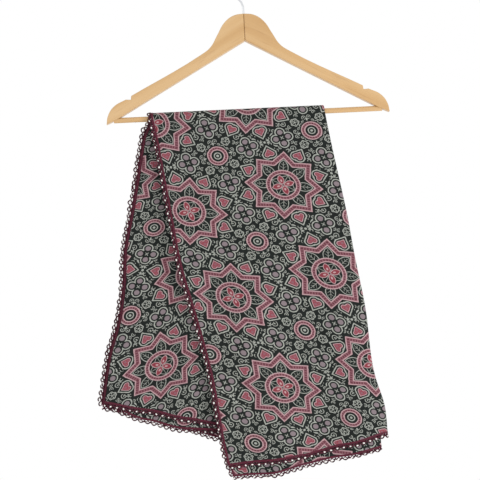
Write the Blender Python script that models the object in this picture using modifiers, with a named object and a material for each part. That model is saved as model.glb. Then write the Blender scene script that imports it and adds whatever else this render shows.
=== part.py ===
# A printed square of cloth, folded in four lengthwise and hung askew over the bar of a wooden coat hanger.
# Metres, +Z up, +X to the right and -Y towards the front. The origin is the point inside the top of
# the hook, where the rail bears.
import math

import bmesh
import bpy
import numpy as np
from mathutils import Matrix

MM = 0.001
GAP = 0.3 * MM  # between pieces that touch

# The hanger: two flat wooden arms meeting at a middle seam, a round bar and a wire hook.
ARM_THICKNESS = 12.0 * MM
ARM_ROUNDING = 1.6 * MM
HOOK_WIRE = 1.7 * MM  # radius
HOOK_LOOP = 21.0 * MM  # radius of the wire's middle line
HOOK_LOOP_TURNS = 14
HOOK_LOOP_FROM, HOOK_LOOP_TO = 222.0, -42.0  # degrees
HOOK_SWING = [(0.0, 12.0), (-2.5, 19.0), (-10.0, 27.5)]  # from the wood's top to the loop, in millimetres
HOOK_STEM = 25.0 * MM  # how deep the wire is screwed into the wood
LOOP_ABOVE_WOOD = 50.0 * MM
WOOD_TOP = -(LOOP_ABOVE_WOOD + HOOK_LOOP - HOOK_WIRE)
BAR_RADIUS = 4.2 * MM
BAR_BELOW_TOP = 158.0 * MM
BAR_HALF_LENGTH = 211.0 * MM
BAR_Z = WOOD_TOP - BAR_BELOW_TOP

# The right arm's outline in millimetres from the top of the wood: the round head and shoulder, the
# strap notch, the round end and the straight underside.
HEAD = [(0.0, 0.0), (16.0, -2.5), (31.0, -13.0), (43.0, -32.0), (55.0, -51.0), (72.0, -63.0)]
NOTCH = [(182.0, -121.0), (183.0, -127.0), (191.0, -126.5)]
ARM_END = [(191.0, -126.5), (210.0, -136.5), (220.0, -151.0), (222.5, -164.0)]
UNDERSIDE = [(222.5, -164.0), (207.0, -157.5), (0.0, -42.5)]

# The cloth: four layers, a little apart. Lane 0 lies on the bar and lane 3 is outermost.
CLOTH_THICKNESS = 1.0 * MM
CLOTH_OVER_BAR = 0.4 * MM
LANE_PITCH_AT_BAR = 1.35 * MM
LANE_PITCH_AT_HEM = 2.6 * MM
FULL_DROP = 560.0 * MM
FOLD_GROWTH = 220.0 * MM  # drop over which a soft fold reaches its depth

# Where the outermost layer's side edges run, in millimetres: drop below the bar, left x, right x.
FRONT_EDGES = [
    (0, -152, 119),
    (40, -145, 125),
    (100, -137, 135),
    (160, -129, 145),
    (230, -119, 154),
    (310, -100, 166),
    (420, -77, 176),
    (470, -71, 189),
    (510, -66, 191),
    (590, -51, 194),
]
BACK_EDGES = [
    (0, -152, 119),
    (20, -165, 114),
    (50, -173, 107),
    (100, -183, 96),
    (150, -194, 84),
    (200, -206, 73),
    (260, -212, 59),
    (310, -221, 48),
    (370, -240, 34),
    (440, -254, 18),
    (560, -276, -8),
]
# How far each lane's edges lie inside those, in millimetres: left, right at the bar, right at the hem.
LANE_INSETS = [(7.0, 2.0, 3.0), (7.0, 5.0, 13.0), (2.5, 5.0, 13.0), (0.0, 2.0, 3.0)]
# The hems' drop below the bar in millimetres, at quarters of the width from left to right.
HEM_AT = [0.0, 0.25, 0.5, 0.75, 1.0]
FRONT_HEMS = [
    (553, 550, 540, 526, 511),
    (554, 556, 545, 537, 531),
    (564, 563, 552, 543, 532),
    (546, 542, 537, 524, 510),
]
BACK_HEMS = [
    (441, 457, 472, 488, 506),
    (442, 472, 488, 495, 511),
    (447, 464, 484, 507, 512),
    (440, 459, 479, 503, 507),
]
# Soft folds in the hanging cloth, in millimetres: side, place across at the bar and at the hem as a
# share of the width, drop at which the fold begins, half width as a share, and depth, forward if below 0.
FOLDS = [
    ("front", 0.10, 0.14, 0, 0.10, 3.5),
    ("front", 0.42, 0.30, 90, 0.17, -5.5),
    ("front", 0.70, 0.58, 140, 0.14, 4.5),
    ("front", 0.93, 0.84, 110, 0.12, -6.5),
    ("back", 0.08, 0.10, 40, 0.09, -3.5),
    ("back", 0.26, 0.30, 0, 0.11, 5.0),
    ("back", 0.50, 0.52, 120, 0.15, -4.5),
    ("back", 0.82, 0.80, 150, 0.15, 4.0),
]

# The scalloped edging sewn round all four edges.
SCALLOP_PITCH = 10.5 * MM
SCALLOP_VALLEY = 3.4 * MM
SCALLOP_PEAK = 7.0 * MM
EDGING_GAP = 0.5 * MM  # between the edging and the edge that it is sewn to

FRONT_ROWS = 15
BACK_ROWS = 13
ARC_ROWS = 6
LAYER_COLUMNS = 10
FOLD_STEPS = 3

WOOD_COLOUR = (0.62, 0.38, 0.17)
STEEL_COLOUR = (0.78, 0.79, 0.80)
CLOTH_COLOUR = (0.055, 0.062, 0.055)
EDGING_COLOUR = (0.11, 0.02, 0.035)


def clear_scene():
    for old in list(bpy.data.objects):
        bpy.data.objects.remove(old, do_unlink=True)


def collection(name):
    made = bpy.data.collections.new(name)
    bpy.context.scene.collection.children.link(made)
    return made


def material(name, colour, roughness, metallic=0.0):
    made = bpy.data.materials.new(name)
    made.use_nodes = True
    shader = made.node_tree.nodes["Principled BSDF"]
    shader.inputs["Base Color"].default_value = (*colour, 1.0)
    shader.inputs["Roughness"].default_value = roughness
    shader.inputs["Metallic"].default_value = metallic
    return made


def add_mesh(name, mesh, home, finish):
    made = bpy.data.objects.new(name, mesh)
    home.objects.link(made)
    mesh.materials.clear()
    mesh.materials.append(finish)
    return made


def add_curve(name, dimensions, extrude=0.0, bevel=0.0, bevel_steps=2):
    curve = bpy.data.curves.new(name, "CURVE")
    curve.dimensions = dimensions
    curve.extrude = extrude
    curve.bevel_depth = bevel
    curve.bevel_resolution = bevel_steps
    curve.resolution_u = 5
    return curve


def solid_from_curve(name, curve, place, home, finish):
    """The curve's own surface as a closed mesh, standing where place puts it."""
    made = bpy.data.objects.new(name + "_curve", curve)
    home.objects.link(made)
    made.matrix_world = place
    bpy.context.view_layer.update()
    mesh = bpy.data.meshes.new_from_object(made.evaluated_get(bpy.context.evaluated_depsgraph_get()))
    bpy.data.objects.remove(made)
    work = bmesh.new()
    work.from_mesh(mesh)
    bmesh.ops.remove_doubles(work, verts=work.verts, dist=0.02 * MM)
    bmesh.ops.dissolve_degenerate(work, edges=work.edges, dist=0.01 * MM)
    bmesh.ops.recalc_face_normals(work, faces=work.faces)
    work.to_mesh(mesh)
    work.free()
    solid = add_mesh(name, mesh, home, finish)
    solid.matrix_world = place
    return solid


def cut(target, cutter):
    """Takes the cutter out of the target with an exact Boolean."""
    cutter.hide_render = True
    cutter.display_type = "WIRE"
    modifier = target.modifiers.new("cut_" + cutter.name, "BOOLEAN")
    modifier.operation = "DIFFERENCE"
    modifier.object = cutter


def table_at(rows, drop, column):
    """Reads a table of edges at a drop below the bar as a smooth curve, both in metres."""
    data = np.array(rows, float) * MM
    at, value = data[:, 0], data[:, column]
    slope = np.gradient(value, at)
    row = min(max(int(np.searchsorted(at, drop)) - 1, 0), len(at) - 2)
    step = at[row + 1] - at[row]
    share = (drop - at[row]) / step
    ease = share * share * (3 - 2 * share)
    leave = share * (1 - share) ** 2 * slope[row]
    arrive = share * share * (1 - share) * slope[row + 1]
    return float(value[row] * (1 - ease) + value[row + 1] * ease + step * (leave - arrive))


def lane_value(rows, lane, column):
    """A column of a table with a row for each lane. A lane is the two that it joins, and a share of the way."""
    begin, end, share = lane
    return rows[begin][column] * (1 - share) + rows[end][column] * share


def hem_drop(front, lane, across):
    rows = FRONT_HEMS if front else BACK_HEMS
    at_lane = [lane_value(rows, lane, column) for column in range(len(HEM_AT))]
    return float(np.interp(across, HEM_AT, at_lane)) * MM


def fold_depth(front, across, drop):
    """How far the soft folds push the cloth back, at a place on the front or the back half."""
    side, total = ("front" if front else "back"), 0.0
    for name, at_bar, at_hem, begins, half_width, depth in FOLDS:
        if name == side:
            share = drop / FULL_DROP
            middle = at_bar + (at_hem - at_bar) * share
            grown = min(max((drop - begins * MM) / FOLD_GROWTH, 0.0), 1.0)
            grown = grown * grown * (3 - 2 * grown)
            total += depth * grown * math.exp(-(((across - middle) / half_width) ** 2))
    return total * MM


def pitch_at(drop):
    share = min(max(drop / FULL_DROP, 0.0), 1.0)
    return LANE_PITCH_AT_BAR + (LANE_PITCH_AT_HEM - LANE_PITCH_AT_BAR) * share


def lane_radius(lane, drop):
    begin, end, share = lane
    number = begin + (end - begin) * share
    return BAR_RADIUS + CLOTH_OVER_BAR + CLOTH_THICKNESS / 2 + number * pitch_at(drop)


def cloth_point(front, lane, across, drop, outward=0.0):
    """A point of a layer that hangs: its lane, share across, drop below the bar, and way past its edge."""
    edges = FRONT_EDGES if front else BACK_EDGES
    share = min(drop / FULL_DROP, 1.0)
    left_in, right_in, right_in_low = (lane_value(LANE_INSETS, lane, column) for column in range(3))
    edge_left, edge_right = table_at(edges, drop, 1), table_at(edges, drop, 2)
    left = edge_left + left_in * MM
    right = edge_right - (right_in + (right_in_low - right_in) * share) * MM
    x = left + (right - left) * across + outward
    depth = lane_radius(lane, drop)
    ripple = fold_depth(front, (x - edge_left) / (edge_right - edge_left), drop)
    return (x, (-depth if front else depth) + ripple, BAR_Z - drop)


def arc_point(lane, across, turn, outward=0.0):
    """A point of a layer where it goes over the bar: turn is -1 at the front and 1 at the back."""
    x, _, _ = cloth_point(True, lane, across, 0.0, outward)
    angle = turn * math.pi / 2
    radius = lane_radius(lane, 0.0)
    return (x, radius * math.sin(angle), BAR_Z + radius * math.cos(angle))


def section_stations(columns_in_layer):
    """The folded section, outer side edge to inner one: lane, share across, and bulge in pitches."""
    stations = []
    layers = [(3, 0, 1), (0, 1, 0), (1, 0, 1), (2, 1, 0)]
    for number, (lane, begin, end) in enumerate(layers):
        for column in range(columns_in_layer):
            across = begin + (end - begin) * column / (columns_in_layer - 1)
            stations.append(((lane, lane, 0.0), across, 0.0))
        if number + 1 < len(layers):
            next_lane = layers[number + 1][0]
            for step in range(1, FOLD_STEPS + 1):
                angle = math.pi * step / (FOLD_STEPS + 1)
                outward = abs(lane - next_lane) / 2 * math.sin(angle) * (1 if end == 1 else -1)
                stations.append(((lane, next_lane, (1 - math.cos(angle)) / 2), end, outward))
    return stations


def row_points(stations, row):
    """One row across the folded section: a half with a share of its drop, or a turn over the bar."""
    half, value = row
    points = []
    for lane, across, bulge in stations:
        if half == "over":
            points.append(arc_point(lane, across, value, bulge * pitch_at(0.0)))
        else:
            front = half == "front"
            drop = value * hem_drop(front, lane, across)
            points.append(cloth_point(front, lane, across, drop, bulge * pitch_at(drop)))
    return points


def drape_rows(front_rows, arc_rows, back_rows):
    rows = [("front", 1 - row / front_rows) for row in range(front_rows)]
    rows += [("over", -1 + 2 * row / arc_rows) for row in range(arc_rows + 1)]
    rows += [("back", (row + 1) / back_rows) for row in range(back_rows)]
    return rows


def sheet_from_grid(name, grid, home, finish, thickness):
    """Spans a grid of points, given row by row, and thickens it into a closed sheet."""
    tall, wide = len(grid), len(grid[0])
    work = bmesh.new()
    bmesh.ops.create_grid(work, x_segments=wide - 1, y_segments=tall - 1, size=0.5)
    work.verts.ensure_lookup_table()
    for vertex in work.verts:
        column = round((vertex.co.x + 0.5) * (wide - 1))
        row = round((vertex.co.y + 0.5) * (tall - 1))
        vertex.co = grid[row][column]
    mesh = bpy.data.meshes.new(name)
    work.to_mesh(mesh)
    work.free()
    made = add_mesh(name, mesh, home, finish)
    solidify = made.modifiers.new("thickness", "SOLIDIFY")
    solidify.thickness = thickness
    solidify.offset = 0.0
    solidify.use_even_offset = False
    return made


def cloth_grid():
    """The cloth's points, row by row from the front hem over the bar to the back hem."""
    stations = section_stations(LAYER_COLUMNS)
    rows = drape_rows(FRONT_ROWS, ARC_ROWS, BACK_ROWS)
    return [row_points(stations, row) for row in rows]


def column(grid, index):
    return [row[index] for row in grid]


def unit(step):
    return step / np.linalg.norm(step)


def edging(name, edge, beside, home, finish):
    """The scalloped strip along an edge of the cloth. beside is the cloth's next line of points inwards."""
    edge, beside = np.array(edge), np.array(beside)
    outward = [unit(at - inside) for at, inside in zip(edge, beside)]
    inner, outer, count = [], [], 0
    for index in range(len(edge) - 1):
        length = float(np.linalg.norm(edge[index + 1] - edge[index]))
        halves = max(1, round(length / (SCALLOP_PITCH / 2)))
        last = 1 if index == len(edge) - 2 else 0
        for half in range(halves + last):
            share = half / halves
            place = edge[index] + (edge[index + 1] - edge[index]) * share
            way = unit(outward[index] + (outward[index + 1] - outward[index]) * share)
            short = length < SCALLOP_PITCH / 4
            depth = SCALLOP_PEAK if count % 2 and not short else SCALLOP_VALLEY
            inner.append(tuple(place + way * EDGING_GAP))
            outer.append(tuple(place + way * (EDGING_GAP + depth)))
            count += 0 if short else 1
    return sheet_from_grid(name, [inner, outer], home, finish, CLOTH_THICKNESS)


def arm_outline(side):
    """The arm's outline as one closed spline: smooth where it is round, sharp at the seam, notch and tip."""
    head = [(x, z, "AUTO") for x, z in HEAD]
    notch = [(x, z, "VECTOR") for x, z in NOTCH[:2]]
    end = [(x, z, "AUTO") for x, z in ARM_END]
    under = [(x, z, "VECTOR") for x, z in UNDERSIDE[1:]]
    points = head + notch + end + under
    curve = add_curve("arm", "2D", ARM_THICKNESS / 2 - ARM_ROUNDING, ARM_ROUNDING)
    curve.fill_mode = "BOTH"
    curve.offset = -ARM_ROUNDING
    spline = curve.splines.new("BEZIER")
    spline.use_cyclic_u = True
    spline.bezier_points.add(len(points) - 1)
    sharp = {(0.0, 0.0), NOTCH[2], ARM_END[-1]}
    for point, (x, z, kind) in zip(spline.bezier_points, points):
        seam = GAP / 2 if x == 0.0 else 0.0
        point.co = (side * (x * MM + seam), z * MM, 0.0)
        kind = "VECTOR" if (x, z) in sharp else kind
        point.handle_left_type = kind
        point.handle_right_type = kind
    return curve


def cylinder(name, radius, start, end, home, finish, sides=24):
    """A rod between two points."""
    start, end = np.array(start, float), np.array(end, float)
    length = float(np.linalg.norm(end - start))
    work = bmesh.new()
    bmesh.ops.create_cone(work, cap_ends=True, segments=sides, radius1=radius, radius2=radius, depth=length)
    mesh = bpy.data.meshes.new(name)
    work.to_mesh(mesh)
    work.free()
    made = add_mesh(name, mesh, home, finish)
    middle = (start + end) / 2
    turn = Matrix.Rotation(math.pi / 2, 4, "Y") if abs(end[0] - start[0]) > 0 else Matrix.Identity(4)
    made.matrix_world = Matrix.Translation(middle) @ turn
    return made


def hanger(home, cutters, wood, steel):
    upright = Matrix.Translation((0.0, 0.0, WOOD_TOP)) @ Matrix.Rotation(math.pi / 2, 4, "X")
    arms = [
        solid_from_curve("arm_" + name, arm_outline(side), upright, home, wood)
        for name, side in (("left", -1), ("right", 1))
    ]
    reach = BAR_HALF_LENGTH + GAP
    hole = cylinder(
        "bar_hole", BAR_RADIUS + GAP, (-reach, 0, BAR_Z), (reach, 0, BAR_Z), cutters, wood
    )
    pilot = cylinder(
        "hook_hole",
        HOOK_WIRE + GAP,
        (0, 0, WOOD_TOP - HOOK_STEM - GAP),
        (0, 0, WOOD_TOP + HOOK_STEM),
        cutters,
        wood,
        16,
    )
    for arm in arms:
        cut(arm, hole)
        cut(arm, pilot)
    ends = [(-BAR_HALF_LENGTH, 0, BAR_Z), (BAR_HALF_LENGTH, 0, BAR_Z)]
    bar = cylinder("bar", BAR_RADIUS, *ends, home, wood)
    return [*arms, bar, hook(home, steel)]


def hook(home, steel):
    """A wire that rises from the wood, swings out to the left and goes over to the right in one loop."""
    loop_z = -(HOOK_LOOP - HOOK_WIRE)
    foot = [(0.0, WOOD_TOP - HOOK_STEM), (0.0, WOOD_TOP - HOOK_STEM / 2), (0.0, WOOD_TOP)]
    swing = [(x * MM, WOOD_TOP + z * MM) for x, z in HOOK_SWING]
    loop = []
    for step in range(HOOK_LOOP_TURNS + 1):
        turn = HOOK_LOOP_FROM + (HOOK_LOOP_TO - HOOK_LOOP_FROM) * step / HOOK_LOOP_TURNS
        angle = math.radians(turn)
        loop.append((HOOK_LOOP * math.cos(angle), loop_z + HOOK_LOOP * math.sin(angle)))
    curve = add_curve("hook", "3D", 0.0, HOOK_WIRE, 2)
    curve.use_fill_caps = True
    spline = curve.splines.new("POLY")
    points = foot + swing + loop
    spline.points.add(len(points) - 1)
    for point, (x, z) in zip(spline.points, points):
        point.co = (x, 0.0, z, 1.0)
    return solid_from_curve("hook", curve, Matrix.Identity(4), home, steel)


def main():
    clear_scene()
    home = collection("cloth_on_hanger")
    cutters = collection("cutters")
    wood = material("pale_wood", WOOD_COLOUR, 0.42)
    steel = material("plated_wire", STEEL_COLOUR, 0.22, 1.0)
    print_cloth = material("printed_cloth", CLOTH_COLOUR, 0.85)
    yarn = material("edging_yarn", EDGING_COLOUR, 0.7)
    hard = hanger(home, cutters, wood, steel)
    grid = cloth_grid()
    soft = [
        sheet_from_grid("cloth", grid, home, print_cloth, CLOTH_THICKNESS),
        edging("edging_side_outer", column(grid, 0), column(grid, 1), home, yarn),
        edging("edging_side_inner", column(grid, -1), column(grid, -2), home, yarn),
        edging("edging_hem_front", grid[0], grid[1], home, yarn),
        edging("edging_hem_back", grid[-1], grid[-2], home, yarn),
    ]
    for made in hard + soft:
        made.data.shade_smooth()
        made.data.set_sharp_from_angle(angle=math.radians(40))
    bpy.context.view_layer.update()


main()
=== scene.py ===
# Dresses the printed cloth, its looped edging and its wooden hanger. Metres, +Z up, -Y towards the front.
import math

import bmesh
import bpy
import numpy as np
from mathutils import Matrix, Vector


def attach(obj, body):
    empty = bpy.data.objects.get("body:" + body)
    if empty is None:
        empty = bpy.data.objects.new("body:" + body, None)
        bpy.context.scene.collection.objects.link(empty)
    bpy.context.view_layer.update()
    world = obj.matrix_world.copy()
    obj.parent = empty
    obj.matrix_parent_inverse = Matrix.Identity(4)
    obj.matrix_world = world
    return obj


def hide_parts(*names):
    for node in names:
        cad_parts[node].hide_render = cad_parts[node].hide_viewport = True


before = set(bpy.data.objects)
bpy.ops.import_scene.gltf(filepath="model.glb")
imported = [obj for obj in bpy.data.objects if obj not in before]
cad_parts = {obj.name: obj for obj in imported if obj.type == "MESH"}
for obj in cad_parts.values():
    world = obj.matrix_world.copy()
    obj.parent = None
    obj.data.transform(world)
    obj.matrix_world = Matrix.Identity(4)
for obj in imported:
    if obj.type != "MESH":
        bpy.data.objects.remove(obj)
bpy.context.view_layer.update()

MM = 0.001

# The hanging cloth, as the solid cloth hangs: four layers over the bar. Lane 3 is outermost. The layers
# follow the cloth's width: lane, and the shares across it at which the layer begins and ends.
LAYERS = [(3, 0, 1), (0, 1, 0), (1, 0, 1), (2, 1, 0)]
WOOD_TOP = -69.3 * MM
BAR_Z = WOOD_TOP - 158.0 * MM
BAR_RADIUS = 4.2 * MM
SOLID_THICKNESS = 1.0 * MM
CLOTH_OVER_BAR = 0.4 * MM
LANE_PITCH_AT_BAR = 1.35 * MM
LANE_PITCH_AT_HEM = 2.6 * MM
FULL_DROP = 560.0 * MM
FOLD_GROWTH = 220.0 * MM

# Where the outermost layer's side edges run, in millimetres: drop below the bar, left x, right x.
FRONT_EDGES = [
    (0, -152, 119),
    (40, -145, 125),
    (100, -137, 135),
    (160, -129, 145),
    (230, -119, 154),
    (310, -100, 166),
    (420, -77, 176),
    (470, -71, 189),
    (510, -66, 191),
    (590, -51, 194),
]
BACK_EDGES = [
    (0, -152, 119),
    (20, -165, 114),
    (50, -173, 107),
    (100, -183, 96),
    (150, -194, 84),
    (200, -206, 73),
    (260, -212, 59),
    (310, -221, 48),
    (370, -240, 34),
    (440, -254, 18),
    (560, -276, -8),
]
# How far each lane's edges lie inside those, in millimetres: left, right at the bar, right at the hem.
LANE_INSETS = [(7.0, 2.0, 3.0), (7.0, 5.0, 13.0), (2.5, 5.0, 13.0), (0.0, 2.0, 3.0)]
# The hems' drop below the bar in millimetres, a row for each lane, at quarters of the width.
FRONT_HEMS = [
    (553, 550, 540, 526, 511),
    (554, 556, 545, 537, 531),
    (564, 563, 552, 543, 532),
    (546, 542, 537, 524, 510),
]
BACK_HEMS = [
    (441, 457, 472, 488, 506),
    (442, 472, 488, 495, 511),
    (447, 464, 484, 507, 512),
    (440, 459, 479, 503, 507),
]
# Soft folds, in millimetres: side, place across at the bar and at the hem as a share of the width,
# drop at which the fold begins, half width as a share, and depth, forward if below 0.
FOLDS = [
    ("front", 0.10, 0.14, 0, 0.10, 3.5),
    ("front", 0.42, 0.30, 90, 0.17, -5.5),
    ("front", 0.70, 0.58, 140, 0.14, 4.5),
    ("front", 0.93, 0.84, 110, 0.12, -6.5),
    ("back", 0.08, 0.10, 40, 0.09, -3.5),
    ("back", 0.26, 0.30, 0, 0.11, 5.0),
    ("back", 0.50, 0.52, 120, 0.15, -4.5),
    ("back", 0.82, 0.80, 150, 0.15, 4.0),
]
# Creases of this finer sheet: side, place across and drop of the middle, in millimetres the half
# length and half width, the lean in degrees from upright, and depth, forward if below 0.
CREASES = [
    ("front", 0.93, 210, 55, 5, 9, 1.6),
    ("front", 0.88, 235, 60, 7, 4, -1.3),
    ("front", 0.06, 60, 60, 6, -6, 1.2),
    ("front", 0.15, 150, 90, 9, -12, -1.1),
    ("front", 0.50, 60, 70, 10, 14, 1.0),
    ("front", 0.33, 330, 120, 12, -9, 1.1),
    ("front", 0.62, 420, 110, 11, -4, -1.2),
    ("front", 0.80, 380, 90, 9, 12, 1.1),
    ("front", 0.22, 500, 50, 9, 22, -1.4),
    ("front", 0.97, 420, 70, 6, -6, 1.0),
    ("back", 0.14, 100, 70, 7, 18, 1.6),
    ("back", 0.22, 150, 60, 6, 28, -1.7),
    ("back", 0.10, 215, 55, 6, -16, 1.5),
    ("back", 0.30, 260, 90, 9, 10, -1.2),
    ("back", 0.45, 90, 90, 10, -8, 1.2),
    ("back", 0.66, 200, 120, 12, 8, -1.3),
    ("back", 0.80, 330, 90, 10, -12, 1.2),
    ("back", 0.40, 400, 70, 9, 6, 1.2),
]

# The finer sheet: how much of a hem's wave is eased, its sizes, and its rows and columns of faces.
HEM_EASE = 0.4
CLOTH_THICKNESS = 0.5 * MM
STRIP_WIDTH = 270.0 * MM
WEAVE_PITCH = 0.7 * MM
FRONT_ROWS = 92
ARC_ROWS = 12
BACK_ROWS = 82
LAYER_COLUMNS = 46
FOLD_STEPS = 5

# Where the print's stars lie, and the rings half way between them: column and row on the print's square
# lattice, and in millimetres the x and the way over the bar, below 0 at the front.
STARS = [
    (0.0, 0.0, 48, -114),
    (-1.0, 0.0, -101, -148),
    (-1.0, 1.0, -39, -285),
    (0.0, 1.0, 113, -256),
    (-1.0, 2.0, 31, -430),
    (0.0, 2.0, 174, -401),
    (0.0, -1.0, -2, 21),
    (-1.0, -1.0, -150, -8),
    (-0.5, -0.5, -52, -64),
    (0.5, -0.5, 97, -31),
    (-0.5, 0.5, 3, -200),
    (-0.5, 1.5, 70, -343),
    (-1.5, 1.5, -80, -372),
    (-1.5, 2.5, -16, -514),
    (-0.5, 2.5, 135, -482),
    (0.0, -4.0, -157, 410),
    (0.0, -3.0, -101, 269),
    (0.5, -4.5, -122, 491),
    (-0.5, -3.5, -202, 328),
    (-0.5, -2.5, -158, 192),
]
OVER_BAR_LENGTH = 22.0
# The fit through them counts in steps of this many millimetres. Its slack lets it miss each a little.
FIT_STEP = 100
STAR_SLACK = 0.04
NO_DISTANCE = 1e-9

# The edging: a whipped band over the edge, two rows of looped cord outside it, a bead in each outer loop.
BAND_INNER, BAND_OUTER = 3.2 * MM, 0.9 * MM
BAND_THICKNESS = 1.3 * MM
BAND_SIDES = 8
STITCH_PITCH = 1.2 * MM
STITCH_DIP = 0.8
SCALLOP_PITCH = 10.5 * MM
SCALLOP_REACH = 5.0 * MM
INNER_REACH = 2.6 * MM
LOOP_FULLNESS = 0.75
LOOP_UNEVEN, LOOP_LIFT = 0.12, 0.5 * MM
CORD_STEPS = 18
PLY_RADIUS = 0.80 * MM
PLY_OFFSET = 0.58 * MM
PLY_TWIST = 3.4 * MM
PLY_SIDES = 6
WELD = 0.005 * MM
BEAD_SIZE = (1.9 * MM, 1.35 * MM, 1.2 * MM)
BEAD_OUT = 4.2 * MM
BEAD_SHIFT, BEAD_TURN = 0.4 * MM, 0.5
BEAD_SEGMENTS, BEAD_RINGS = 10, 6
BEAD_SEED = 10
# The sides' lines are this much finer than the sheet. The last two say where the line inside an edge
# runs, as shares of the width and of the drop.
SIDE_FINENESS = 3
INSIDE_SIDE = 0.03
ABOVE_HEM = 0.985

# From here on lengths are in steps of the print's lattice. First the soft edge of the ink.
EDGE_SOFTNESS = 0.0022
# The turn from the middle of a star's side to its tip, and about the cosine of 45 degrees.
TIP_COS, TIP_SIN = math.cos(math.pi / 8), math.sin(math.pi / 8)
DIAGONAL = 0.7

# The star, with the leaves, the ring, the net and the petals inside it.
STAR_TIP = 0.381
STAR_NOTCH = 0.2825
STAR_BAND = 0.054
RING_IN, RING_OUT = 0.122, 0.167
LEAF_MIDDLE, LEAF_HALF, LEAF_WIDE = 0.197, 0.090, 0.051
VEIN_HALF, VEIN_SLANT, VEIN_PITCH = 0.0020, 0.8, 0.034
VEIN_INSET, VEIN_END = 0.020, 0.258
NET_AT, NET_HALF, NET_SLANT_HALF = 0.087, 0.0026, 0.0022
NET_HOLE, NET_GAP = 0.03, 0.006
PETAL_MIDDLE, PETAL_HALF, PETAL_WIDE = 0.060, 0.048, 0.026
CORE_AT, CORE_RADIUS, CORE_SQUEEZE = 0.050, 0.015, 1.7

# The hearts, quatrefoils, flowers and discs round it.
HEART_AT, HEART_TIP, LOBE_BACK, LOBE_ASIDE, LOBE_RADIUS = 0.372, 0.055, 0.012, 0.024, 0.026
CLOVER_AT, CLOVER_PETAL, CLOVER_RADIUS, CLOVER_HOLE = 0.185, 0.064, 0.027, 0.050
CROSS_HALF, CROSS_REACH = 0.003, 0.022
FLOWER_AT, FLOWER_RADIUS, FLOWER_WAVE, FLOWER_EYE = 0.370, 0.040, 0.004, 0.009
SMALL_PETAL_AT, SMALL_PETAL_GAP, SMALL_PETAL_HALF = 0.024, 0.030, 0.011
DISC_IN, DISC_OUT, DISC_EYE = 0.063, 0.104, 0.013

# Lines round the motifs: how far outside the motif's edge, and half the line's width.
LEAF_LINE = (-0.0045, 0.0036)
BAND_LINE = (-0.0045, 0.0050)
PETAL_LINE = (0.0020, 0.0036)
HEART_LINE = (-0.0030, 0.0030)
HEART_RED_LINE = (-0.0140, 0.0042)
HALO_LINE = (0.0200, 0.0055)
FLOWER_LINE = (0.0, 0.0046)
DISC_LINE = (0.0340, 0.0052)

# Ladders in the bands: half a rung's length and half its width, with the pitch or the rungs of a turn.
STAR_RUNG, STAR_RUNG_PITCH = (0.0120, 0.0080), 0.0262
RING_RUNG, RING_RUNGS = (0.0095, 0.0082), 32
DISC_RUNG, DISC_RUNGS = (0.0090, 0.0075), 20

# How far the scrolls keep from the motifs, and half the width of their line.
STAR_MARGIN, HEART_MARGIN, CLOVER_MARGIN, DISC_MARGIN, FLOWER_MARGIN = 0.006, 0.034, 0.033, 0.014, 0.010
SCROLL_LINE = 0.0032
# Scrolls in the ground: centre, radius, way of the opening and half its angle in degrees.
SCROLLS = [
    (0.358, 0.250, 0.025, 205, 62),
    (0.347, 0.184, 0.015, 250, 75),
    (0.404, 0.300, 0.017, 115, 70),
    (0.474, 0.340, 0.019, 75, 70),
    (0.452, 0.388, 0.015, 20, 75),
    (0.402, 0.128, 0.015, 75, 70),
    (0.430, 0.262, 0.017, 300, 75),
    (0.466, 0.044, 0.015, 200, 80),
    (0.380, 0.085, 0.015, 300, 80),
    (0.420, 0.415, 0.014, 60, 80),
    (0.378, 0.150, 0.050, 255, 150),
    (0.505, 0.395, 0.042, 90, 140),
    (0.318, 0.215, 0.040, 200, 150),
]
# Small leaves in the ground: middle, way, half length and half width.
SPRIGS = [
    (0.436, 0.094, -52, 0.026, 0.010),
    (0.490, 0.036, 70, 0.020, 0.007),
    (0.500, 0.366, 90, 0.018, 0.008),
    (0.412, 0.232, 60, 0.016, 0.007),
    (0.340, 0.212, -20, 0.014, 0.006),
    (0.318, 0.006, 0, 0.013, 0.006),
    (0.228, 0.224, 45, 0.013, 0.006),
]
# Seeds: centre and radius.
SEEDS = [
    (0.500, 0.000, 0.012),
    (0.358, 0.250, 0.007),
    (0.404, 0.300, 0.005),
    (0.474, 0.340, 0.006),
    (0.402, 0.128, 0.005),
    (0.430, 0.262, 0.005),
    (0.452, 0.388, 0.005),
    (0.410, 0.070, 0.006),
]

# The camera: the point that it faces, its distance from there, its turn and roll in degrees, its lens.
VIEW_MIDDLE = (-23.69 * MM, 0.0, WOOD_TOP - 354.57 * MM)
VIEW_DISTANCE = 1.35
VIEW_YAW, VIEW_ROLL = 1.850, -2.949
VIEW_LENS = 64.37
FILM = 36.0

# The lights: name, middle, what it faces, width and height in metres, and power in watts.
LIGHTS = [
    ("key", (1.05, -1.0, -0.72), (0.0, 0.0, -0.66), 0.7, 0.7, 7.5),
    ("fill", (-1.0, -1.9, 0.9), (0.0, 0.0, -0.10), 1.2, 1.2, 3.0),
]
FLOOR_Z = -1.3
FLOOR_HALF_SIDE = 1.5


def smooth_table(rows, drop, column):
    """Reads a table of edges at drops below the bar as a smooth curve, all in metres."""
    data = np.array(rows, float) * MM
    at, value = data[:, 0], data[:, column]
    slope = np.gradient(value, at)
    row = np.clip(np.searchsorted(at, drop) - 1, 0, len(at) - 2)
    step = at[row + 1] - at[row]
    share = (drop - at[row]) / step
    ease = share * share * (3 - 2 * share)
    leave = share * (1 - share) ** 2 * slope[row]
    arrive = share * share * (1 - share) * slope[row + 1]
    return value[row] * (1 - ease) + value[row + 1] * ease + step * (leave - arrive)


def smoothstep(value, low, high):
    """0 below the low value and 1 above the high one, with a soft rise between them."""
    share = np.clip((value - low) / (high - low), 0.0, 1.0)
    return share * share * (3 - 2 * share)


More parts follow.
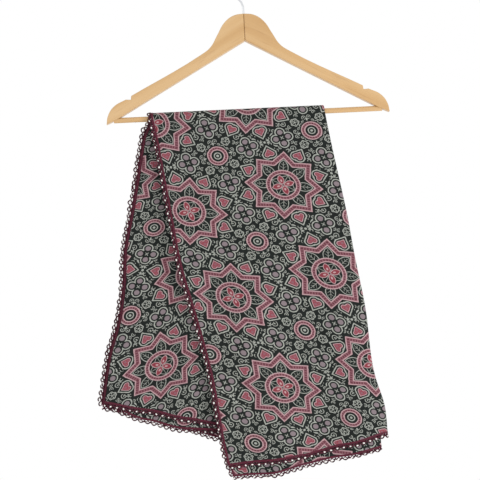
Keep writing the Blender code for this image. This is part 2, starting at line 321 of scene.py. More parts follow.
class Section:
    """Stations across the folded section: two lanes and a share of the way between them, the share
    across the width, the bulge past a fold in pitches, and the place on the flat cloth."""

    def __init__(self, rows):
        data = np.array(rows, float)
        self.begin = data[:, 0].astype(int)
        self.end = data[:, 1].astype(int)
        self.share, self.across, self.bulge, self.flat = data[:, 2:].T

    def of_lane(self, table):
        """A table with a row for each lane, read at every station."""
        data = np.array(table, float)
        share = self.share[:, None]
        return data[self.begin] * (1 - share) + data[self.end] * share

    def number(self):
        """The lane of each station, in parts of a lane on a fold."""
        return self.begin + (self.end - self.begin) * self.share


def folded_section():
    """The whole cloth's section, from its outer side edge to its inner one."""
    rows = []
    for number, (lane, begin, end) in enumerate(LAYERS):
        for column in range(LAYER_COLUMNS):
            along = column / (LAYER_COLUMNS - 1)
            rows.append((lane, lane, 0, begin + (end - begin) * along, 0, (number + along) * STRIP_WIDTH))
        if number + 1 < len(LAYERS):
            following = LAYERS[number + 1][0]
            for step in range(1, FOLD_STEPS + 1):
                angle = math.pi * step / (FOLD_STEPS + 1)
                bulge = abs(lane - following) / 2 * math.sin(angle) * (1 if end == 1 else -1)
                flat = (number + 1) * STRIP_WIDTH
                rows.append((lane, following, (1 - math.cos(angle)) / 2, end, bulge, flat))
    return Section(rows)


def pitch_at(drop):
    """How far apart the lanes hang."""
    share = np.clip(drop / FULL_DROP, 0.0, 1.0)
    return LANE_PITCH_AT_BAR + (LANE_PITCH_AT_HEM - LANE_PITCH_AT_BAR) * share


def fold_depth(front, across, drop):
    """How far the soft folds push the cloth back."""
    side, total = ("front" if front else "back"), 0.0
    for name, at_bar, at_hem, begins, half_width, depth in FOLDS:
        if name == side:
            middle = at_bar + (at_hem - at_bar) * drop / FULL_DROP
            grown = smoothstep(drop, begins * MM, begins * MM + FOLD_GROWTH)
            total = total + depth * grown * np.exp(-(((across - middle) / half_width) ** 2))
    return total * MM


def crease_depth(front, across, drop):
    """The finer creases: long soft ridges and troughs, each with its own place and lean."""
    side, total = ("front" if front else "back"), 0.0
    for name, place, middle, half_length, half_width, lean, depth in CREASES:
        if name == side:
            aside = (across - place) * STRIP_WIDTH / MM
            below = drop / MM - middle
            turn = math.radians(lean)
            along = below * math.cos(turn) + aside * math.sin(turn)
            beside = aside * math.cos(turn) - below * math.sin(turn)
            total = total + depth * np.exp(-((along / half_length) ** 2) - (beside / half_width) ** 2)
    return total * MM


def hem_drop(section, front):
    """How far below the bar the hem lies at each station."""
    table = section.of_lane(FRONT_HEMS if front else BACK_HEMS)
    steps = table.shape[1] - 1
    column = np.clip((section.across * steps).astype(int), 0, steps - 1)
    share = section.across * steps - column
    ease = share * share * (3 - 2 * share) * HEM_EASE + share * (1 - HEM_EASE)
    station = np.arange(len(column))
    return (table[station, column] * (1 - ease) + table[station, column + 1] * ease) * MM


def lane_radius(section, drop):
    """How far each station lies from the middle of the bar."""
    return BAR_RADIUS + CLOTH_OVER_BAR + SOLID_THICKNESS / 2 + section.number() * pitch_at(drop)


def hanging_row(section, front, drop):
    """A row of the cloth at a drop below the bar for each station."""
    edges = FRONT_EDGES if front else BACK_EDGES
    insets = section.of_lane(LANE_INSETS) * MM
    share = np.clip(drop / FULL_DROP, 0.0, 1.0)
    edge_left, edge_right = smooth_table(edges, drop, 1), smooth_table(edges, drop, 2)
    left = edge_left + insets[:, 0]
    right = edge_right - (insets[:, 1] + (insets[:, 2] - insets[:, 1]) * share)
    x = left + (right - left) * section.across + section.bulge * pitch_at(drop)
    place = (x - edge_left) / (edge_right - edge_left)
    depth = lane_radius(section, drop) * (-1 if front else 1)
    depth = depth + fold_depth(front, place, drop) + crease_depth(front, place, drop)
    return np.stack([x, depth, BAR_Z - drop], axis=1)


def arc_row(section, turn):
    """A row where the cloth goes over the bar: turn is -1 at the front and 1 at the back."""
    x = hanging_row(section, True, np.zeros(len(section.across)))[:, 0]
    radius = lane_radius(section, 0.0)
    angle = turn * math.pi / 2
    return np.stack([x, radius * math.sin(angle), BAR_Z + radius * math.cos(angle)], axis=1)


def thin_plate(places, knots):
    """The terms of a smooth surface through knots: a slope in x and y, and a soft bend round each knot."""
    apart = np.linalg.norm(places[:, None, :] - knots[None, :, :], axis=2)
    bends = apart**2 * np.log(apart + NO_DISTANCE)
    return np.hstack([bends, np.ones((len(places), 1)), places])


def fit_print():
    """Weights that give the print's column and row for any place on the hanging cloth."""
    data = np.array(STARS)
    knots, lattice = data[:, 2:] / FIT_STEP, data[:, :2]
    terms = thin_plate(knots, knots)
    count = len(knots)
    terms[:, :count] += STAR_SLACK * np.eye(count)
    slopes = np.hstack([terms[:, count:].T, np.zeros((3, 3))])
    weights = np.linalg.solve(np.vstack([terms, slopes]), np.vstack([lattice, np.zeros((3, 2))]))
    return knots, weights


PRINT_KNOTS, PRINT_WEIGHTS = fit_print()


def print_place(x, along):
    """Where a point lies on the print's lattice. along is its way over the bar from the front, upwards."""
    places = np.stack([x, along], axis=1) / MM / FIT_STEP
    return thin_plate(places, PRINT_KNOTS) @ PRINT_WEIGHTS


def cloth_row(section, half, value):
    """A row's points, its places on the print's lattice and its places on the flat cloth."""
    if half == "over":
        points = arc_row(section, value)
        along = np.full(len(section.flat), (value + 1) / 2 * OVER_BAR_LENGTH * MM)
    else:
        front = half == "front"
        drop = value * hem_drop(section, front)
        points = hanging_row(section, front, drop)
        along = -drop if front else drop + OVER_BAR_LENGTH * MM
    return points, print_place(points[:, 0], along), np.stack([section.flat, along], axis=1)


def drape_rows(front_rows, arc_rows, back_rows):
    """Each row's half of the cloth and its place there, from the front hem to the back one."""
    rows = [("front", 1 - row / front_rows) for row in range(front_rows)]
    rows += [("over", -1 + 2 * row / arc_rows) for row in range(arc_rows + 1)]
    rows += [("back", (row + 1) / back_rows) for row in range(back_rows)]
    return rows


def add_piece(name, mesh, slot, *materials):
    """Puts a mesh into the scene as a piece of the one body."""
    made = bpy.data.objects.new(name, mesh)
    bpy.context.scene.collection.objects.link(made)
    for finish in materials:
        mesh.materials.append(finish)
    mesh.shade_smooth()
    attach(made, "root")
    return made


def skin(work, points, maps=None, finish=0):
    """Spans a sheet of points, rows by columns, in a bmesh. maps gives a UV map's name and its values."""
    tall, wide = points.shape[:2]
    made = bmesh.ops.create_grid(work, x_segments=wide - 1, y_segments=tall - 1, size=0.5)["verts"]
    places = {}
    for vertex in made:
        column = round((vertex.co.x + 0.5) * (wide - 1))
        row = round((vertex.co.y + 0.5) * (tall - 1))
        places[vertex] = (row, column)
    faces = {face for vertex in made for face in vertex.link_faces}
    layers = [(work.loops.layers.uv.new(key), value) for key, value in (maps or {}).items()]
    for face in faces:
        face.material_index = finish
        for loop in face.loops:
            for layer, value in layers:
                loop[layer].uv = value[places[loop.vert]]
    for vertex in made:
        vertex.co = points[places[vertex]]


def mesh_from(work, name):
    """Turns a finished bmesh into a mesh."""
    mesh = bpy.data.meshes.new(name)
    work.to_mesh(mesh)
    work.free()
    return mesh


def drape_cloth(finish):
    """The whole cloth as one thin sheet, with its place on the print and on the flat cloth in two UV maps."""
    section = folded_section()
    rows = [cloth_row(section, *row) for row in drape_rows(FRONT_ROWS, ARC_ROWS, BACK_ROWS)]
    points, motifs, flat = (np.array([row[kind] for row in rows]) for kind in range(3))
    work = bmesh.new()
    skin(work, points, {"print": motifs, "weave": flat})
    piece = add_piece("draped_cloth", mesh_from(work, "draped_cloth"), "printed_cloth", finish)
    thickness = piece.modifiers.new("thickness", "SOLIDIFY")
    thickness.thickness = CLOTH_THICKNESS
    thickness.offset = 0.0
    thickness.use_even_offset = False
    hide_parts("cloth")
    return piece


def unit_rows(vectors):
    """Each row's direction, at length 1."""
    return vectors / np.linalg.norm(vectors, axis=1)[:, None]


def way_along(points):
    """How far along their line the points lie."""
    return np.concatenate([[0.0], np.cumsum(np.linalg.norm(np.diff(points, axis=0), axis=1))])


def edge_frame(edge, inside, step):
    """An edge resampled at even steps: its places, points, ways out of the cloth, and normals."""
    length = way_along(edge)
    count = max(4, round(length[-1] / step))
    at = np.linspace(0.0, length[-1], count + 1)
    points = np.stack([np.interp(at, length, edge[:, axis]) for axis in range(3)], axis=1)
    inner = np.stack([np.interp(at, length, inside[:, axis]) for axis in range(3)], axis=1)
    along = unit_rows(np.gradient(points, axis=0))
    out = points - inner
    out = unit_rows(out - along * np.sum(out * along, axis=1)[:, None])
    return at, points, out, np.cross(along, out)


def side_edge(lane):
    """A cut side, from the front hem over the bar to the back hem, with a line just inside it."""
    section = Section([(lane, lane, 0, across, 0, 0) for across in (0.0, INSIDE_SIDE)])
    counts = [SIDE_FINENESS * count for count in (FRONT_ROWS, ARC_ROWS, BACK_ROWS)]
    lines = np.array([cloth_row(section, *row)[0] for row in drape_rows(*counts)])
    return lines[:, 0], lines[:, 1]


def hem_edge(half):
    """A hem, round the folds from the outer side to the inner one, with a line just above it."""
    section = folded_section()
    return cloth_row(section, half, 1.0)[0], cloth_row(section, half, ABOVE_HEM)[0]


def whipped_band(edge, inside):
    """The rings of the band over an edge, a little flatter between its stitches."""
    at, points, out, normals = edge_frame(edge, inside, STITCH_PITCH / 2)
    swell = np.where(np.arange(len(at)) % 2, 1.0, STITCH_DIP)[:, None]
    angle = np.linspace(0.0, 2 * math.pi, BAND_SIDES + 1)[None, :]
    reach = np.where(np.cos(angle) > 0, BAND_OUTER, BAND_INNER) * np.cos(angle)
    height = BAND_THICKNESS / 2 * np.sin(angle) * swell
    rings = points[:, None, :] + reach[:, :, None] * out[:, None, :]
    return rings + height[:, :, None] * normals[:, None, :]


def cord_rings(path, normals):
    """The rings of a round ply along a path. Each ring's first and last points are the same."""
    beside = np.cross(unit_rows(np.gradient(path, axis=0)), normals)
    angle = np.linspace(0.0, 2 * math.pi, PLY_SIDES + 1)[None, :, None]
    ring = np.cos(angle) * normals[:, None, :] + np.sin(angle) * beside[:, None, :]
    return path[:, None, :] + ring * PLY_RADIUS


def twisted_plies(path, normals):
    """The two plies of a cord, which wind round its middle line."""
    beside = np.cross(unit_rows(np.gradient(path, axis=0)), normals)
    for ply in range(2):
        turn = 2 * math.pi * way_along(path) / PLY_TWIST + math.pi * ply
        offset = np.cos(turn)[:, None] * normals + np.sin(turn)[:, None] * beside
        yield cord_rings(path + offset * PLY_OFFSET, normals)


def scallop_path(run, far_out, phase, chance):
    """A looped cord's middle line outside the edge, a little uneven from loop to loop."""
    at, points, out, normals = run
    loop = (at / SCALLOP_PITCH + phase).astype(int)
    reach = 1 + LOOP_UNEVEN * chance.standard_normal(loop.max() + 2)
    lift = LOOP_LIFT * chance.standard_normal(loop.max() + 2)
    swing = np.abs(np.sin(math.pi * (at / SCALLOP_PITCH + phase)))
    outward = BAND_OUTER + far_out * reach[loop] * swing**LOOP_FULLNESS
    return points + out * outward[:, None] + normals * (lift[loop] * swing)[:, None]


def looped_edging(name, edge, inside, finishes, seed):
    """One edge's trim: the whipped band, an inner row of loops, and an outer one of two plies."""
    chance = np.random.default_rng(seed)
    work = bmesh.new()
    skin(work, whipped_band(edge, inside))
    run = edge_frame(edge, inside, SCALLOP_PITCH / CORD_STEPS)
    normals = run[-1]
    skin(work, cord_rings(scallop_path(run, INNER_REACH, 0.5, chance), normals), finish=1)
    outer = scallop_path(run, SCALLOP_REACH, 0.0, chance)
    for finish, ply in enumerate(twisted_plies(outer, normals), 1):
        skin(work, ply, finish=finish)
    bmesh.ops.remove_doubles(work, verts=work.verts, dist=WELD)
    close_ends(work)
    piece = add_piece("looped_" + name, mesh_from(work, name), "edging_yarn", *finishes)
    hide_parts(name)
    return piece


def close_ends(work):
    """Caps the open ends of the cords, and turns all faces outwards."""
    open_edges = [edge for edge in work.edges if edge.is_boundary]
    bmesh.ops.holes_fill(work, edges=open_edges, sides=0)
    bmesh.ops.recalc_face_normals(work, faces=work.faces)


def edge_beads(name, edge, inside, finish, seed):
    """A small pearly bead in each loop of an edge."""
    chance = np.random.default_rng(seed)
    at, points, out, normals = edge_frame(edge, inside, SCALLOP_PITCH / 2)
    work = bmesh.new()
    for place in range(1, len(at), 2):
        along = np.cross(out[place], normals[place])
        turn = Matrix.Rotation(BEAD_TURN * chance.standard_normal(), 3, Vector(normals[place]))
        axes = turn @ Matrix([along, out[place], normals[place]]).transposed()
        middle = Vector(points[place] + out[place] * (BEAD_OUT + BEAD_SHIFT * chance.standard_normal()))
        bmesh.ops.create_uvsphere(
            work,
            u_segments=BEAD_SEGMENTS,
            v_segments=BEAD_RINGS,
            radius=1.0,
            matrix=Matrix.Translation(middle) @ axes.to_4x4() @ Matrix.Diagonal((*BEAD_SIZE, 1.0)),
        )
    bmesh.ops.recalc_face_normals(work, faces=work.faces)
    return add_piece(name, mesh_from(work, name), "edging_yarn", finish)


class Socket:
    """A socket of a material's nodes, on which sums are written as in Python."""

    def __init__(self, tree, link=None):
        self.tree = tree
        self.link = link

    def node(self, kind, settings=None, values=None, outlet=0):
        """Adds a node: its settings, then the values or links of its sockets. Gives one of its outlets."""
        made = self.tree.nodes.new(kind)
        for key, value in (settings or {}).items():
            if key == "stops":
                lay_stops(made.color_ramp, value)
            else:
                setattr(made, key, value)
        for key, value in (values or {}).items():
            if isinstance(value, Socket):
                self.tree.links.new(value.link, made.inputs[key])
            else:
                made.inputs[key].default_value = value
        return Socket(self.tree, made.outputs[outlet])

    def math(self, operation, *values, clamp=False):
        settings = {"operation": operation, "use_clamp": clamp}
        return self.node("ShaderNodeMath", settings, dict(enumerate(values)))

    def __add__(self, other):
        return self.math("ADD", self, other)

    def __sub__(self, other):
        return self.math("SUBTRACT", self, other)

    def __rsub__(self, other):
        return self.math("SUBTRACT", other, self)

    def __mul__(self, other):
        return self.math("MULTIPLY", self, other)

    __rmul__ = __mul__

    def __truediv__(self, other):
        return self.math("DIVIDE", self, other)

    def size(self):
        return self.math("ABSOLUTE", self)

    def high(self, other):
        return self.math("MAXIMUM", self, other)

    def low(self, other):
        return self.math("MINIMUM", self, other)

    def root(self):
        return self.math("SQRT", self)

    def part(self):
        return self.math("FRACT", self)

    def cosine(self):
        return self.math("COSINE", self)

    def angle_over(self, other):
        return self.math("ARCTAN2", self, other)

    def clamped(self, factor, offset):
        return self.math("MULTIPLY_ADD", self, factor, offset, clamp=True)

    def tint(self, first, second):
        """The first colour where this is 0 and the second where it is 1."""
        settings = {"data_type": "RGBA"}
        return self.node("ShaderNodeMix", settings, {0: self, 6: first, 7: second}, outlet=2)

    def here(self):
        """The place on the object, in metres."""
        return self.node("ShaderNodeTexCoord", outlet=3)

    def axis(self, number):
        return self.node("ShaderNodeSeparateXYZ", None, {0: self}, outlet=number)

    def noise(self, where, scale, detail=2.0, stretch=(1.0, 1.0, 1.0)):
        """An even noise of 0 to 1 at a place, stretched along its axes."""
        placed = self.node("ShaderNodeMapping", None, {"Vector": where, "Scale": stretch})
        values = {"Vector": placed, "Scale": scale, "Detail": detail}
        return self.node("ShaderNodeTexNoise", None, values)

    def bump(self, height, distance, strength=1.0, normal=None):
        values = {"Height": height, "Distance": distance, "Strength": strength}
        if normal:
            values["Normal"] = normal
        return self.node("ShaderNodeBump", None, values)


def lay_stops(ramp, stops):
    """Gives a colour ramp its stops, each a place and a colour."""
    while len(ramp.elements) < len(stops):
        ramp.elements.new(0.5)
    for element, (place, colour) in zip(ramp.elements, stops):
        element.position = place
        element.color = colour


def shade(red, green, blue):
    """A colour as the eye reads it, 0 to 255, brought to the linear values of the shader."""
    scaled = (channel / 255 for channel in (red, green, blue))
    linear = [c / 12.92 if c <= 0.04045 else ((c + 0.055) / 1.055) ** 2.4 for c in scaled]
    return (*linear, 1.0)


def new_material(name):
    """A material with a Principled shader, and the start of its nodes."""
    made = bpy.data.materials.new(name)
    made.use_nodes = True
    return made, made.node_tree.nodes["Principled BSDF"], Socket(made.node_tree)


def feed(start, shader, **sources):
    """Links or sets the shader's sockets. An underscore in a name stands for a space."""
    for key, value in sources.items():
        target = shader.inputs[key.replace("_", " ")]
        if isinstance(value, Socket):
            start.tree.links.new(value.link, target)
        else:
            target.default_value = value


def far(across, along):
    """Distance from the origin."""
    return (across * across + along * along).root()


def inked(distance):
    """1 where a distance is below 0 and 0 above it, with the soft edge of a print."""
    return distance.clamped(-1 / EDGE_SOFTNESS, 0.5)


def nearest(first, *others):
    """Distance from whichever shape is nearest."""
    for other in others:
        first = first.low(other)
    return first


def outline(distance, off, half_width):
    """Distance from a line round a motif. off is how far outside the motif's edge it runs."""
    return (distance - off).size() - half_width


def band(distance, inner, outer):
    """Distance from the band between two contours round a motif."""
    return outline(distance, (inner + outer) / 2, (outer - inner) / 2)


def leaf(along, beside, middle, half, wide):
    """Distance from a pointed leaf of two arcs. beside is 0 or more."""
    radius = (half * half + wide * wide) / (2 * wide)
    return far(along - middle, beside + (radius - wide)) - radius


def dashes(along, pitch, half_width):
    """Distance from even dashes across a band."""
    return ((along / pitch).part() - 0.5).size() * pitch - half_width


def ladder(middle_way, along, pitch, half_long, half_wide):
    """Distance from the rungs along a band. middle_way is the way from its middle line."""
    return (middle_way.size() - half_long).high(dashes(along, pitch, half_wide))


def round_ladder(radius, turn, middle, rungs, rung):
    """The same in a ring. radius and turn give the place, middle the ring's own radius."""
    return ladder(radius - middle, turn * middle, middle * 2 * math.pi / rungs, *rung)


def scroll(u, v, row):
    """Distance from the middle line of an open curl."""
    centre_u, centre_v, radius, way, opening = row
    du, dv = u - centre_u, v - centre_v
    turn, cut = math.radians(way), radius * math.cos(math.radians(opening))
    return (far(du, dv) - radius).size().high(du * math.cos(turn) + dv * math.sin(turn) - cut)


def turned(along, beside):
    """A place in axes turned by half the way from tip to tip of the star, folded at the first of them."""
    return along * TIP_COS + beside * TIP_SIN, (beside * TIP_COS - along * TIP_SIN).size()


def star_edge(p, q):
    """Distance from the star, and the way along its edge."""
    notch_p, notch_q = STAR_NOTCH * TIP_COS, STAR_NOTCH * TIP_SIN
    slope = math.hypot(STAR_TIP - notch_p, notch_q)
    out_p, out_q = notch_q / slope, (STAR_TIP - notch_p) / slope
    return (p - STAR_TIP) * out_p + q * out_q, q * out_p - p * out_q


def heart_edge(m, n):
    """Distance from a heart: a round lobe on each side, and a wedge that touches both."""
    back, aside = m - HEART_AT + LOBE_BACK, n - LOBE_ASIDE
    tip = HEART_TIP + LOBE_BACK
    side = math.atan2(LOBE_ASIDE, tip) + math.asin(LOBE_RADIUS / math.hypot(tip, LOBE_ASIDE))
    wedge = (m - HEART_AT - HEART_TIP) * math.sin(side) + n * math.cos(side)
    ahead = back * math.cos(side) - aside * math.sin(side)
    return (far(back, aside) - LOBE_RADIUS).low(wedge.high(ahead * -1))


def quatrefoil(u, v):
    """Distance from a quatrefoil, and from the pale cross and halo that go with it."""
    x, y = (u - 0.5).size(), (v - CLOVER_AT).size()
    petals = far(x.high(y) - CLOVER_PETAL, x.low(y)) - CLOVER_RADIUS
    cross = ((x - y).size() * DIAGONAL - CROSS_HALF).high(far(x, y) - CROSS_REACH)
    halo = outline(petals, *HALO_LINE).high(CLOVER_HOLE - far(x, y))
    return petals, cross.low(halo)


def round_flower(u, v):
    """Distance from a flower, and from its pale outline, eye and six small petals."""
    x, y = u - FLOWER_AT, v - FLOWER_AT
    radius = far(x, y)
    six = (y.angle_over(x) * 6).cosine()
    flower = radius - six * FLOWER_WAVE - FLOWER_RADIUS
    between = SMALL_PETAL_GAP - six * SMALL_PETAL_GAP
    petals = (radius - SMALL_PETAL_AT).size().high(between) - SMALL_PETAL_HALF
    return flower, nearest(outline(flower, *FLOWER_LINE), radius - FLOWER_EYE, petals)


def veined_leaves(p, q):
    """Distance from the outline and the veins of the star's leaves."""
    leaves = leaf(p, q, LEAF_MIDDLE, LEAF_HALF, LEAF_WIDE)
    side_veins = dashes(p - q * VEIN_SLANT, VEIN_PITCH, VEIN_HALF).high(leaves + VEIN_INSET)
    veins = (q.size() - VEIN_HALF).low(side_veins).high(p - VEIN_END)
    return outline(leaves, *LEAF_LINE).low(veins.high(leaves))


def net_lines(u, v, r, petal):
    """Distance from the fine net between the petals and the ring."""
    net = outline(u, NET_AT, NET_HALF).low((u - v).size() * DIAGONAL - NET_SLANT_HALF)
    return net.high(r - RING_IN).high(NET_GAP - petal).high(NET_HOLE - r)


def ground_filling(u, v):
    """Distance from the scrolls, small leaves and seeds in the ground."""
    filling = [scroll(u, v, row) - SCROLL_LINE for row in SCROLLS]
    for middle_u, middle_v, way, half, wide in SPRIGS:
        du, dv, turn = u - middle_u, v - middle_v, math.radians(way)
        along = du * math.cos(turn) + dv * math.sin(turn)
        beside = dv * math.cos(turn) - du * math.sin(turn)
        filling.append(leaf(along, beside.size(), 0.0, half, wide))
    filling += [far(u - centre_u, v - centre_v) - radius for centre_u, centre_v, radius in SEEDS]
    return nearest(*filling)


def print_masks(i, j):
    """How much of each printed colour a place on the lattice has, in the order in which they are laid.

    The lattice is folded onto an eighth of a star. u is the larger way from the star's middle and v the
    smaller one, p and q lie along and beside a tip, m and n along and beside a notch."""
    a = ((i + 0.5).part() - 0.5).size()
    b = ((j + 0.5).part() - 0.5).size()
    u, v = a.high(b), a.low(b)
    r = far(u, v)
    p, q = turned(u, v)
    m, n = turned(p, q)
    disc_u, disc_v = 0.5 - u, 0.5 - v
    disc_r = far(disc_u, disc_v)

    star, star_run = star_edge(p, q)
    bands = nearest(
        band(star, -STAR_BAND, 0.0),
        band(r, RING_IN, RING_OUT),
        band(disc_r, DISC_IN, DISC_OUT),
    )
    ladders = nearest(
        ladder(star + STAR_BAND / 2, star_run, STAR_RUNG_PITCH, *STAR_RUNG),
        round_ladder(r, v.angle_over(u), (RING_IN + RING_OUT) / 2, RING_RUNGS, RING_RUNG),
        round_ladder(disc_r, disc_v.angle_over(disc_u), (DISC_IN + DISC_OUT) / 2, DISC_RUNGS, DISC_RUNG),
    )
    petal = leaf(u, v, PETAL_MIDDLE, PETAL_HALF, PETAL_WIDE)
    core = far(u - CORE_AT, v * CORE_SQUEEZE) - CORE_RADIUS
    heart = heart_edge(m, n)
    clover, clover_lines = quatrefoil(u, v)
    flower, flower_lines = round_flower(u, v)

    held = nearest(star, heart - HEART_MARGIN, clover - CLOVER_MARGIN) - STAR_MARGIN
    held = nearest(held, disc_r - DISC_OUT - DISC_MARGIN, flower - FLOWER_MARGIN)
    pale = nearest(
        ground_filling(u, v).high(held * -1),
        veined_leaves(p, q).high(RING_OUT - r).high(star + STAR_BAND),
        net_lines(u, v, r, petal),
        outline(heart, *HALO_LINE),
        clover_lines,
        flower_lines,
        outline(disc_r, *DISC_LINE),
        disc_r - DISC_EYE,
    )
    blush = nearest(
        outline(bands, *BAND_LINE),
        outline(petal, *PETAL_LINE),
        outline(heart, *HEART_LINE),
        core,
    )
    return {
        "pale": inked(pale.high(heart * -1).high(bands * -1)),
        "mauve": inked(clover),
        "pink": inked(bands.low(heart)),
        "wine": inked(ladders),
        "red": inked(petal.low(outline(heart, *HEART_RED_LINE))),
        "blush": inked(blush),
    }


# The inks on the cloth. The worn ground is where the dye has paled.
INK = {
    "ground": shade(17, 21, 20),
    "worn_ground": shade(25, 31, 29),
    "thread": shade(120, 120, 116),
    "pale": shade(168, 171, 163),
    "mauve": shade(138, 124, 129),
    "pink": shade(142, 94, 104),
    "wine": shade(88, 42, 51),
    "red": shade(140, 56, 68),
    "blush": shade(186, 156, 158),
}


def printed_cotton():
    """Thin cotton with the print in soft-edged inks, a plain weave and faint creasing."""
    made, shader, start = new_material("printed_cotton")
    place = start.node("ShaderNodeUVMap", {"uv_map": "print"})
    flat = start.node("ShaderNodeUVMap", {"uv_map": "weave"})
    where = start.here()
    spread = (start.noise(flat, 260.0) - 0.5) * 0.010
    wear = start.noise(flat, 38.0, 4.0).clamped(1.6, -0.3)
    speck = start.noise(flat, 1500.0, 1.0).clamped(2.2, -0.6)
    laid = 0.99 - 0.12 * wear - 0.16 * speck
    colour = wear.tint(INK["ground"], INK["worn_ground"])
    for name, mask in print_masks(place.axis(0) + spread, place.axis(1) + spread).items():
        colour = (mask * laid).tint(colour, INK[name])
    warp, weft = (flat.axis(number) / WEAVE_PITCH * 2 * math.pi for number in range(2))
    threads = warp.cosine() * weft.cosine()
    colour = threads.clamped(0.03, 0.03).tint(colour, INK["thread"])
    cockle = start.noise(where, 42.0, 3.0, (1.0, 1.0, 0.45))
    relief = start.bump(cockle, 2.6 * MM, 0.55)
    relief = start.bump(threads, 0.10 * MM, 0.6, relief)
    feed(start, shader, Base_Color=colour, Normal=relief, Roughness=0.86)
    feed(start, shader, Sheen_Weight=0.04, Sheen_Roughness=0.5, Specular_IOR_Level=0.10)
    return made


def edging_thread(name, dark, light, scale):
    """Twisted thread, mottled between a dark and a light colour: partly the fibres' own tone, partly painted
    shade between the fibres and painted highlights on them. A little glossy on top.
    """
    made, shader, start = new_material(name)
    where = start.here()
    # Mottle of the fibres' own tone, with painted shade between the fibres and painted highlights on them.
    fibre_tone_shade_and_highlight = start.noise(where, scale, 3.0).clamped(2.4, -0.7)
    relief = start.bump(start.noise(where, 4200.0, 2.0), 0.12 * MM, 0.7)
    feed(start, shader, Base_Color=fibre_tone_shade_and_highlight.tint(dark, light), Normal=relief, Roughness=0.55)
    feed(start, shader, Sheen_Weight=0.06, Specular_IOR_Level=0.2)
    return made


def pearl():
    """The beads' milky gloss."""
    made, shader, start = new_material("pearl")
    where = start.here()
    cloud = start.noise(where, 300.0, 2.0)
    feed(start, shader, Base_Color=cloud.tint(shade(226, 223, 217), shade(246, 244, 240)), Roughness=0.22)
    feed(start, shader, Coat_Weight=0.5, Coat_Roughness=0.1)
    return made


def pale_wood(name, lean):
    """Lacquered pale beech. lean is how far its grain turns from +X, in degrees."""
    made, shader, start = new_material(name)
    where = start.here()
    settings = {"Vector": where, "Rotation": (0.0, math.radians(lean), 0.0)}
    along = start.node("ShaderNodeMapping", None, settings)
    drift = start.noise(along, 9.0, 3.0, (0.30, 1.0, 1.6))
    streak = start.noise(along, 60.0, 4.0, (0.05, 1.0, 1.0))
    fleck = start.noise(along, 420.0, 2.0, (0.06, 1.0, 1.0)).clamped(5.0, -2.9)
    figure = drift * 0.55 + streak * 0.45
    stops = [
        (0.30, shade(184, 141, 87)),
        (0.48, shade(198, 159, 107)),
        (0.62, shade(208, 173, 125)),
        (0.75, shade(191, 150, 97)),
    ]
    colour = start.node("ShaderNodeValToRGB", {"stops": stops}, {0: figure})
    colour = (fleck * 0.35).tint(colour, shade(156, 110, 64))
    relief = start.bump(streak - fleck * 0.3, 0.25 * MM, 0.35)
    feed(start, shader, Base_Color=colour, Normal=relief, Roughness=figure.clamped(0.25, 0.24))
    feed(start, shader, Coat_Weight=0.35, Coat_Roughness=0.18)
    return made


def plated_wire():
    """Bright plated steel wire with faint drawing lines."""
    made, shader, start = new_material("plated_steel")
    where = start.here()
    marks = start.noise(where, 900.0, 2.0)
    feed(start, shader, Base_Color=marks.tint(shade(205, 207, 210), shade(232, 233, 235)), Metallic=1.0)
    feed(start, shader, Roughness=marks.clamped(0.16, 0.12))
    return made


def dress_hanger():
    """The wood and the wire keep their solids and take their finishes."""
    finishes = {
        "arm_left": pale_wood("wood_left", 29.0),
        "arm_right": pale_wood("wood_right", -29.0),
        "bar": pale_wood("wood_bar", 0.0),
        "hook": plated_wire(),
    }
    for name, finish in finishes.items():
        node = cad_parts[name]
        node.data.materials.clear()
        node.data.materials.append(finish)


def trim_edges(cloth_trim):
    """Both cut sides and both hems: their trim and their beads."""
    edges = {
        "edging_side_outer": side_edge(LAYERS[0][0]),
        "edging_side_inner": side_edge(LAYERS[-1][0]),
        "edging_hem_front": hem_edge("front"),
        "edging_hem_back": hem_edge("back"),
    }
    beads = pearl()
    pieces = []
    for number, (name, (edge, inside_line)) in enumerate(edges.items()):
        pieces.append(looped_edging(name, edge, inside_line, cloth_trim, number))
        beads_name = "beads_" + name.removeprefix("edging_")
        pieces.append(edge_beads(beads_name, edge, inside_line, beads, BEAD_SEED + number))
    return pieces


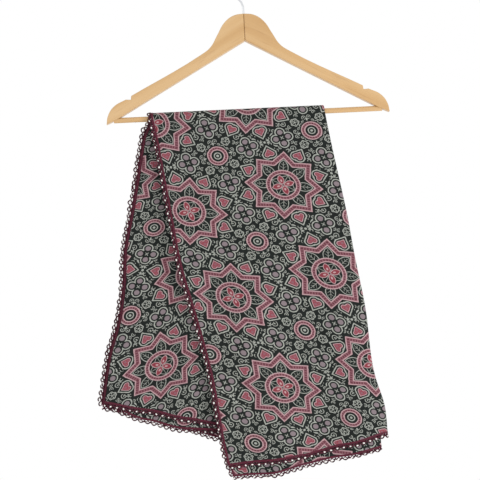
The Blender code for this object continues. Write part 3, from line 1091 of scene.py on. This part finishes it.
def set_camera():
    """The photograph's view: turned and rolled a little, as the hanger tilts there."""
    yaw, roll = math.radians(VIEW_YAW), math.radians(VIEW_ROLL)
    ahead = Vector((math.sin(yaw), math.cos(yaw), 0.0))
    level = Vector((math.cos(yaw), -math.sin(yaw), 0.0))
    upright = level.cross(ahead)
    right = level * math.cos(roll) + upright * math.sin(roll)
    up = upright * math.cos(roll) - level * math.sin(roll)
    camera = bpy.data.cameras.new("camera")
    camera.lens = VIEW_LENS
    camera.sensor_width = FILM
    camera.sensor_height = FILM
    made = bpy.data.objects.new("camera", camera)
    bpy.context.scene.collection.objects.link(made)
    eye = Vector(VIEW_MIDDLE) - ahead * VIEW_DISTANCE
    facing = Matrix([right, up, -ahead]).transposed().to_4x4()
    made.matrix_world = Matrix.Translation(eye) @ facing
    bpy.context.scene.camera = made


def set_stage():
    """A pale floor, two soft lights and a white sky."""
    work = bmesh.new()
    bmesh.ops.create_grid(work, x_segments=1, y_segments=1, size=FLOOR_HALF_SIDE)
    bmesh.ops.translate(work, verts=work.verts, vec=(0.0, 0.0, FLOOR_Z))
    made, shader, start = new_material("pale_floor")
    where = start.here()
    feed(start, shader, Base_Color=start.noise(where, 2.0).tint(shade(246, 246, 246), shade(250, 250, 250)))
    feed(start, shader, Roughness=0.9)
    floor = bpy.data.objects.new("floor", mesh_from(work, "floor"))
    floor.data.materials.append(made)
    bpy.context.scene.collection.objects.link(floor)
    for name, place, target, width, height, power in LIGHTS:
        light = bpy.data.lights.new(name, "AREA")
        light.shape = "RECTANGLE"
        light.size, light.size_y = width, height
        light.energy = power
        made = bpy.data.objects.new(name, light)
        bpy.context.scene.collection.objects.link(made)
        made.location = place
        made.rotation_euler = (Vector(target) - Vector(place)).to_track_quat("-Z", "Y").to_euler()
    world = bpy.data.worlds.new("white_sky")
    world.use_nodes = True
    sky = world.node_tree.nodes["Background"]
    sky.inputs["Color"].default_value = (1.0, 1.0, 1.0, 1.0)
    sky.inputs["Strength"].default_value = 1.0
    bpy.context.scene.world = world
    bpy.context.scene.view_settings.view_transform = "Standard"


set_camera()
set_stage()
dress_hanger()
# Each thread's dark and light colour: its own tones, the dark one also painted shade between the fibres, the
# light one also a painted highlight.
maroon = edging_thread("maroon_thread", shade(44, 10, 22), shade(100, 28, 50), 1300.0)
charcoal = edging_thread("charcoal_thread", shade(12, 8, 10), shade(44, 28, 33), 1100.0)
cloth = drape_cloth(printed_cotton())
trims = trim_edges((maroon, maroon, charcoal))
